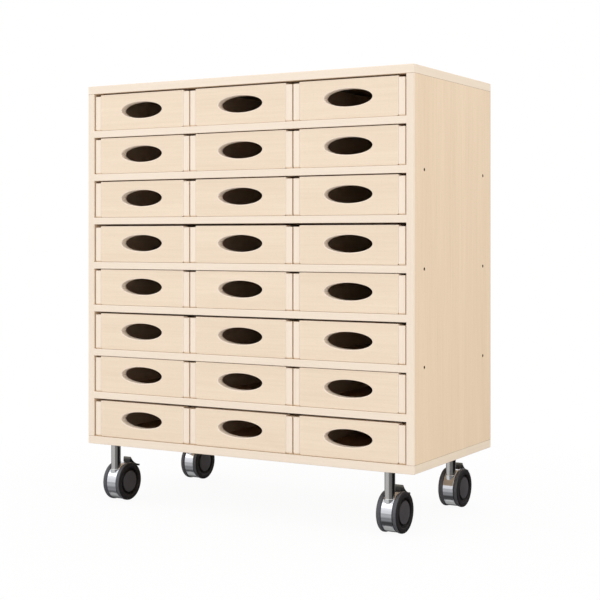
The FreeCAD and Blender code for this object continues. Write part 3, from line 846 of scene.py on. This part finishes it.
floorMesh = bpy.data.meshes.new("studioFloor")
floorCorners = np.array([(-1, -1, 0), (1, -1, 0), (1, 1, 0), (-1, 1, 0)]) * studio["floorReach"]
floorMesh.from_pydata(floorCorners, [], [(0, 1, 2, 3)])
floor = bpy.data.objects.new("studioFloor", floorMesh)
bpy.context.scene.collection.objects.link(floor)
floorMaterial, floorShader = newMaterial("floorWhite")
lit = floorShader.node("ShaderNodeBsdfDiffuse", {}, {"Color": colour(*[studio["floorTone"]] * 3)})
glow = floorShader.node("ShaderNodeEmission", {}, {"Color": colour(1, 1, 1), "Strength": 1.0})
floorPlace = floorShader.node("ShaderNodeTexCoord", output=3)
fromMiddle = floorShader.node("ShaderNodeVectorMath", {"operation": "LENGTH"}, {0: floorPlace}, output=1)
whiteness = floorShader.range(fromMiddle, *studio["shadowReach"], studio["floorWhite"], 1.0)
floorShader.finish(floorShader.node("ShaderNodeMixShader", {}, {
    0: seenDirectly(floorShader) * whiteness, 1: lit, 2: glow}))
floorMesh.materials.append(floorMaterial)

world = bpy.data.worlds.new("studioWorld")
bpy.context.scene.world = world
world.use_nodes = True
worldShader = Shader(world.node_tree)
dim, white = [worldShader.node("ShaderNodeBackground", {}, {"Color": colour(1, 1, 1), "Strength": strength})
              for strength in (studio["worldLight"], 1.0)]
sky = worldShader.node("ShaderNodeMixShader", {}, {0: seenDirectly(worldShader), 1: dim, 2: white})
worldOutput = world.node_tree.nodes.new("ShaderNodeOutputWorld")
world.node_tree.links.new(sky.socket, worldOutput.inputs["Surface"])


# what metal mirrors: a drum round the set that only glossy rays see. Its tone follows the bearing from the
# front, atan2(x, -y) in degrees, times a tone by the slope z / sqrt(x^2 + y^2), plus a paler floor low down
# behind, and turns to sky overhead
mirrored = {
    "segments": 48, "radius": 5.0, "low": -10.0, "high": 6.0, "sky": 1.15, "skySlope": (0.09, 0.36),
    "bearing": [(-180, 0.36), (-150, 0.30), (-100, 0.36), (-84, 0.92), (2, 0.92), (13, 0.34), (66, 0.26),
                (79, 0.015), (148, 0.015), (158, 0.36), (180, 0.36)],
    "behind": {"bearing": (-66, -80), "slope": (-0.85, -1.2), "tone": 0.30},
    "slope": [(-6.0, 0.40), (-2.8, 0.38), (-2.2, 0.10), (-1.15, 0.06), (-0.80, 0.34), (-0.55, 0.28),
              (-0.32, 0.62), (-0.14, 0.56), (-0.085, 0.60), (-0.05, 1.0)],
}
segments = mirrored["segments"]
turn = np.linspace(0, 2 * math.pi, segments, endpoint=False)
hoop = np.stack([np.cos(turn), np.sin(turn), 0 * turn], -1) * mirrored["radius"]
drumPoints = np.concatenate([hoop + [0, 0, mirrored["low"]], hoop + [0, 0, mirrored["high"]]])
drumFaces = [(k, (k + 1) % segments, segments + (k + 1) % segments, segments + k) for k in range(segments)]
drumFaces.append(tuple(range(segments)))
drumMesh = bpy.data.meshes.new("studioDrum")
drumMesh.from_pydata(drumPoints, [], drumFaces)
drum = bpy.data.objects.new("studioDrum", drumMesh)
bpy.context.scene.collection.objects.link(drum)
drumMaterial, drumShader = newMaterial("drumTones")
drumPlace = drumShader.node("ShaderNodeTexCoord", output=3)
east, north, rise = [drumShader.node("ShaderNodeSeparateXYZ", {}, {0: drumPlace}, output=k) for k in range(3)]
bearing = (east.maths("ARCTAN2", east, north * -1.0)) * math.degrees(1)
slope = east.maths("DIVIDE", rise, east.maths("SQRT", east * east + north * north, 0.0))
overhead = drumShader.range(slope, *mirrored["skySlope"])
behind = (drumShader.range(bearing, *mirrored["behind"]["bearing"])
          * drumShader.range(slope, *mirrored["behind"]["slope"]) * mirrored["behind"]["tone"])
tone = drumShader.ramp(bearing, mirrored["bearing"]) * drumShader.ramp(slope, mirrored["slope"]) + behind
drumShader.finish(drumShader.node("ShaderNodeEmission", {}, {
    "Color": tone * (1.0 - overhead) + overhead * mirrored["sky"], "Strength": 1.0}))
drumMesh.materials.append(drumMaterial)
for rays in ("camera", "diffuse", "shadow", "transmission", "volume_scatter"):
    setattr(drum, "visible_" + rays, False)
floor.visible_glossy = False


def softLamp(name, place, size, power, target=(0.0, 0.0, 0.5)):
    lamp = bpy.data.lights.new(name, "AREA")
    lamp.size, lamp.energy = size, power
    holder = bpy.data.objects.new(name, lamp)
    holder.location = place
    towards = Vector(target) - Vector(place)
    holder.rotation_euler = towards.to_track_quat("-Z", "Y").to_euler()
    bpy.context.scene.collection.objects.link(holder)


softLamp("keyLamp", studio["keyPlace"], studio["keySize"], studio["keyPower"])
softLamp("topLamp", studio["topPlace"], studio["topSize"], studio["topPower"])
softLamp("fillLamp", studio["fillPlace"], studio["fillSize"], studio["fillPower"])

camera = bpy.data.objects.new("camera", bpy.data.cameras.new("camera"))
camera.location = studio["cameraPlace"]
camera.rotation_euler = (math.pi / 2, 0, math.radians(studio["cameraTurn"]))
camera.data.lens = studio["cameraLens"]
camera.data.shift_y = studio["cameraShift"]
bpy.context.scene.collection.objects.link(camera)
bpy.context.scene.camera = camera
bpy.context.scene.view_settings.view_transform = "Standard"
